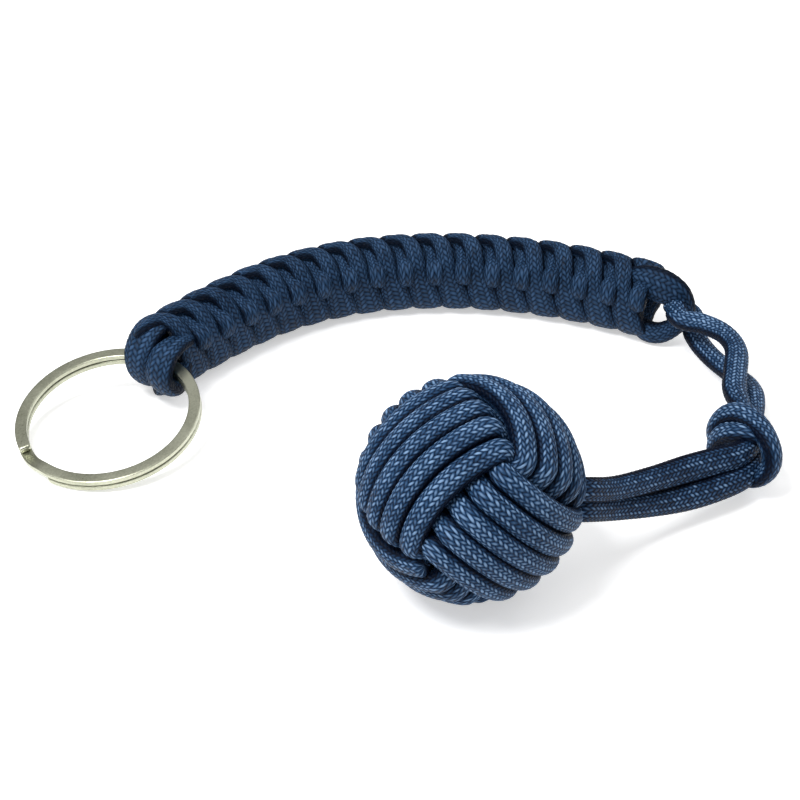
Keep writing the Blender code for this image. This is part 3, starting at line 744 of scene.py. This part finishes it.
for section, (first, last) in enumerate(zip(CUT_STITCHES, CUT_STITCHES[1:]), start=1):
    for back, side in ((False, "front"), (True, "back")):
        cord = braided_cord("strap_%s_%d" % (side, section), working_cord(back, first, last),
                            shaded_strap_braid, fullness=WORKING_FULLNESS)
        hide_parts(*["stitch_%02d" % (k + 1) for k in range(first, last)])
        bend_with(cord)


# The split ring.
# Two turns of nickel-plated spring wire, rolled flat, with a step where the
# wire crosses over itself between its two ground ends.
RING_DIAMETER = 0.0358
WIRE_WIDTH = 0.0023
WIRE_HEIGHT = 0.0011
TURN_GAP = 0.0002
RING_HEADING_DEG = 246.0
STEP_HEADING_DEG = 222.0
STEP_SPAN_DEG = 22.0
WIRE_END_GAP_DEG = 3.0
RING_CENTRE = np.array((-0.05292, -0.04932, 0.00501))
RING_TILT_DEG = 12.38
WIRE_SQUARENESS = 0.3
WIRE_ROWS = 420
WIRE_SIDES = 32
GROUND_END = 0.8
NICKEL_WORN = (0.34, 0.35, 0.26)
NICKEL_BRIGHT = (0.56, 0.57, 0.45)
NICKEL_ROUGHNESS = 0.31
NICKEL_PIT_SCALE = 2600.0


def ring_rows():
    """Rows of place and face direction along the wire's two flat turns and its step."""
    radius = (RING_DIAMETER - WIRE_WIDTH) / 2
    level = (WIRE_HEIGHT + TURN_GAP) / 2
    start = STEP_HEADING_DEG - RING_HEADING_DEG + STEP_SPAN_DEG / 2 + WIRE_END_GAP_DEG
    sweep = 720.0 - STEP_SPAN_DEG - 2 * WIRE_END_GAP_DEG
    turn = np.array(Matrix.Rotation(math.radians(RING_HEADING_DEG), 3, "Z")
                    @ Matrix.Rotation(math.radians(RING_TILT_DEG), 3, "Y"))
    rows = []
    for swept in np.linspace(0.0, sweep, WIRE_ROWS):
        climb = (swept - sweep / 2) / STEP_SPAN_DEG + 0.5
        climb = min(max(climb, 0.0), 1.0)
        climb = climb * climb * (3.0 - 2.0 * climb)
        angle = math.radians(start + swept)
        place = np.array((radius * math.cos(angle), radius * math.sin(angle),
                          level * (2.0 * climb - 1.0)))
        rows.append((*(RING_CENTRE + turn @ place), *(turn @ np.array((0.0, 0.0, 1.0)))))
    return np.array(rows)


def rolled_wire(ring, around):
    """The wire's flat section, with its corners rounded by rolling and its ends ground."""
    angle = 2.0 * math.pi * around
    side = np.sign(np.cos(angle)) * np.abs(np.cos(angle)) ** WIRE_SQUARENESS
    out = np.sign(np.sin(angle)) * np.abs(np.sin(angle)) ** WIRE_SQUARENESS
    last = ring.max()
    ground = np.where(np.minimum(ring, last - ring) == 0, GROUND_END, 1.0)
    return side * ground * WIRE_WIDTH / 2, out * ground * WIRE_HEIGHT / 2, 1.0 * ring, around


nickel = bare_metal("nickel_plate", NICKEL_WORN, NICKEL_BRIGHT, NICKEL_ROUGHNESS,
                    NICKEL_PIT_SCALE)
split_ring = wrap_tube("split_ring", ring_rows(), WIRE_SIDES, rolled_wire, nickel)
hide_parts("key_ring")
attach(split_ring, "key_ring")


# The table, the lamps and the camera.
# A plain white table under a wide soft light from above, seen from a little
# above the fob.
WHITE = (1.0, 1.0, 1.0, 1.0)
TABLE_COLOUR = (0.9, 0.9, 0.9, 1.0)
TABLE_ROUGHNESS = 0.7
TABLE_SIZE = 4.0
TABLE_LEVEL = -0.0002
NEAR_RADIUS, FAR_RADIUS = 0.2, 0.8
NEAR_GLOW, FAR_GLOW = 0.50, 0.85
HORIZON_LIGHT, ZENITH_LIGHT = 0.12, 0.62
LAMP_AIM = (0.0, -0.04, 0.0)
# Place, size and power of each lamp
LAMPS = {"key_lamp": ((-0.22, -0.22, 0.52), 0.22, 2.9),
         "side_lamp": ((0.40, 0.20, 0.45), 0.30, 0.7)}
CAMERA_PLACE = (0.00297, -0.3070, 0.1827)
CAMERA_TILT_DEG = 56.0
PHOTO_WIDTH_PX = 800
FOCAL_PX = 1630.8
SENSOR_MM = 36.0

table_finish = Finish("white_table")
table_finish.shader.inputs["Base Color"].default_value = TABLE_COLOUR
table_finish.shader.inputs["Roughness"].default_value = TABLE_ROUGHNESS
table_finish.shader.inputs["Emission Color"].default_value = WHITE
rays = table_finish.node("ShaderNodeLightPath").outputs
seen = table_finish.calc("MAXIMUM", rays["Is Camera Ray"], rays["Is Glossy Ray"])
seen = table_finish.calc("MAXIMUM", seen, rays["Is Transmission Ray"])
from_middle = table_finish.node("ShaderNodeVectorMath", operation="LENGTH")
table_finish.feed(table_finish.node("ShaderNodeTexCoord").outputs["Object"],
                  from_middle.inputs[0])
glow = table_finish.stretch(from_middle.outputs["Value"], NEAR_RADIUS, FAR_RADIUS,
                            NEAR_GLOW, FAR_GLOW)
table_finish.feed(table_finish.calc("MULTIPLY", seen, glow),
                  table_finish.shader.inputs["Emission Strength"])
bpy.ops.mesh.primitive_plane_add(size=TABLE_SIZE, location=(0.0, 0.0, TABLE_LEVEL))
table = bpy.context.object
table.name = "table"
table.data.materials.append(table_finish.material)

scene = bpy.context.scene
world = scene.world or bpy.data.worlds.new("world")
scene.world = world
world.use_nodes = True
sky = Wiring(world.node_tree)
direction = sky.node("ShaderNodeSeparateXYZ")
sky.feed(sky.node("ShaderNodeTexCoord").outputs["Generated"], direction.inputs[0])
from_above = sky.stretch(direction.outputs[2], 0.0, 1.0, HORIZON_LIGHT, ZENITH_LIGHT)
camera_ray = sky.node("ShaderNodeLightPath").outputs["Is Camera Ray"]
background = sky.tree.nodes["Background"]
sky.feed(sky.between(camera_ray, from_above, 1.0), background.inputs["Strength"])
background.inputs["Color"].default_value = WHITE

for name, (place, size, power) in LAMPS.items():
    light = bpy.data.lights.new(name, "AREA")
    light.size = size
    light.energy = power
    lamp = bpy.data.objects.new(name, light)
    lamp.location = place
    lamp.rotation_euler = (Vector(LAMP_AIM) - Vector(place)).to_track_quat("-Z", "Y").to_euler()
    scene.collection.objects.link(lamp)

camera = bpy.data.cameras.new("camera")
camera.sensor_width = SENSOR_MM
camera.lens = SENSOR_MM * FOCAL_PX / PHOTO_WIDTH_PX
camera_object = bpy.data.objects.new("camera", camera)
camera_object.location = CAMERA_PLACE
camera_object.rotation_euler = (math.radians(CAMERA_TILT_DEG), 0.0, 0.0)
scene.collection.objects.link(camera_object)
scene.camera = camera_object
scene.view_settings.view_transform = "Standard"
